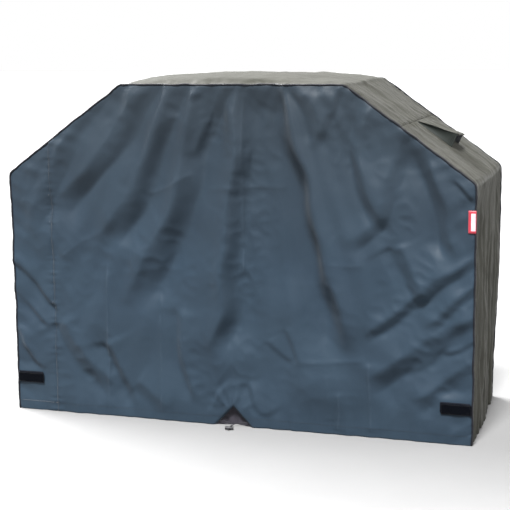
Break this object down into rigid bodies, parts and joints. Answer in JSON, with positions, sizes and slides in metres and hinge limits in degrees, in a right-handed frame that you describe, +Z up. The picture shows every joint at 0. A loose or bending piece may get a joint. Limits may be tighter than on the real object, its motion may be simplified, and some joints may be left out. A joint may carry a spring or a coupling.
{
  "type": "grill cover",
  "caption": "Fitted grill cover in coated fabric with sloping shoulders, hooded shoulder vents, corded hem with a cord lock, and hook-and-loop corner tabs.",
  "frame": {"origin": "on the ground, at the middle of the cover's footprint", "axes": "+X to the right seen from the front, +Y to the back, +Z up"},
  "size_m": [1.63, 0.6685, 1.188],
  "materials": {
    "panel_fabric": "satin",
    "band_fabric": "matte",
    "piping": "matte",
    "lining": "matte",
    "mesh": "matte",
    "cord": "matte",
    "hook_and_loop": "matte",
    "label_ribbon": "satin",
    "spring_wire": "satin",
    "lock_plastic": "satin"
  },
  "bodies": {
    "cover": {"front_main_panel": "panel_fabric", "front_joining_strip": "panel_fabric", "back_main_panel": "panel_fabric", "back_joining_strip": "panel_fabric", "crown_panel": "band_fabric", "right_side_panel": "band_fabric", "left_side_panel": "band_fabric", "front_piping": "piping", "back_piping": "piping", "front_seam_tape": "lining", "back_seam_tape": "lining", "right_cross_seam_tape": "lining", "left_cross_seam_tape": "lining", "front_left_hem_tunnel": "lining", "front_right_hem_tunnel": "lining", "back_hem_tunnel": "lining", "right_hem_tunnel": "lining", "left_hem_tunnel": "lining", "notch_gusset": "lining", "drawcord": "cord", "right_drawcord_end": "cord", "left_drawcord_end": "cord", "cord_end_knot": "cord", "right_vent_mesh": "mesh", "left_vent_mesh": "mesh", "right_vent_gusset_front": "band_fabric", "right_vent_gusset_back": "band_fabric", "left_vent_gusset_front": "band_fabric", "left_vent_gusset_back": "band_fabric", "right_loop_patch": "hook_and_loop", "left_loop_patch": "hook_and_loop"},
    "right_vent": {"right_vent_hood": "band_fabric", "right_hood_stay": "lock_plastic"},
    "left_vent": {"left_vent_hood": "band_fabric", "left_hood_stay": "lock_plastic"},
    "right_tab": {"right_hook_tab": "hook_and_loop"},
    "left_tab": {"left_hook_tab": "hook_and_loop"},
    "label": {"side_label": "label_ribbon"},
    "cord_lock": {"cord_lock_barrel": "lock_plastic", "cord_lock_spring": "spring_wire"},
    "lock_button": {"cord_lock_button": "lock_plastic"}
  },
  "joints": [
    {"name": "right_vent_hinge", "type": "hinge", "parent": "cover", "child": "right_vent", "pos_m": [0.57478, 0.035, 1.02749], "axis": [0, 1, 0], "range_deg": [0, 16], "deforming": ["right_vent_gusset_front", "right_vent_gusset_back"]},
    {"name": "left_vent_hinge", "type": "hinge", "parent": "cover", "child": "left_vent", "pos_m": [-0.57478, 0.035, 1.02749], "axis": [0, -1, 0], "range_deg": [0, 16], "deforming": ["left_vent_gusset_front", "left_vent_gusset_back"]},
    {"name": "right_tab_hinge", "type": "hinge", "parent": "cover", "child": "right_tab", "pos_m": [0.811, -0.3073, 0.118], "axis": [0, 0, 1], "range_deg": [0, 165]},
    {"name": "left_tab_hinge", "type": "hinge", "parent": "cover", "child": "left_tab", "pos_m": [-0.811, -0.3073, 0.118], "axis": [0, 0, -1], "range_deg": [0, 165]},
    {"name": "label_hinge", "type": "hinge", "parent": "cover", "child": "label", "pos_m": [0.8145, -0.3061, 0.7305], "axis": [0, 0, 1], "range_deg": [0, 150]},
    {"name": "cord_lock_slide", "type": "slide", "parent": "cover", "child": "cord_lock", "axis": [0, 1, 0], "range_m": [0, 0.022]},
    {"name": "lock_button_press", "type": "slide", "parent": "cord_lock", "child": "lock_button", "axis": [-1, 0, 0], "range_m": [0, 0.0035], "stiffness_N_per_m": 400, "springref_m": -0.004, "deforming": ["cord_lock_spring"]}
  ]
}
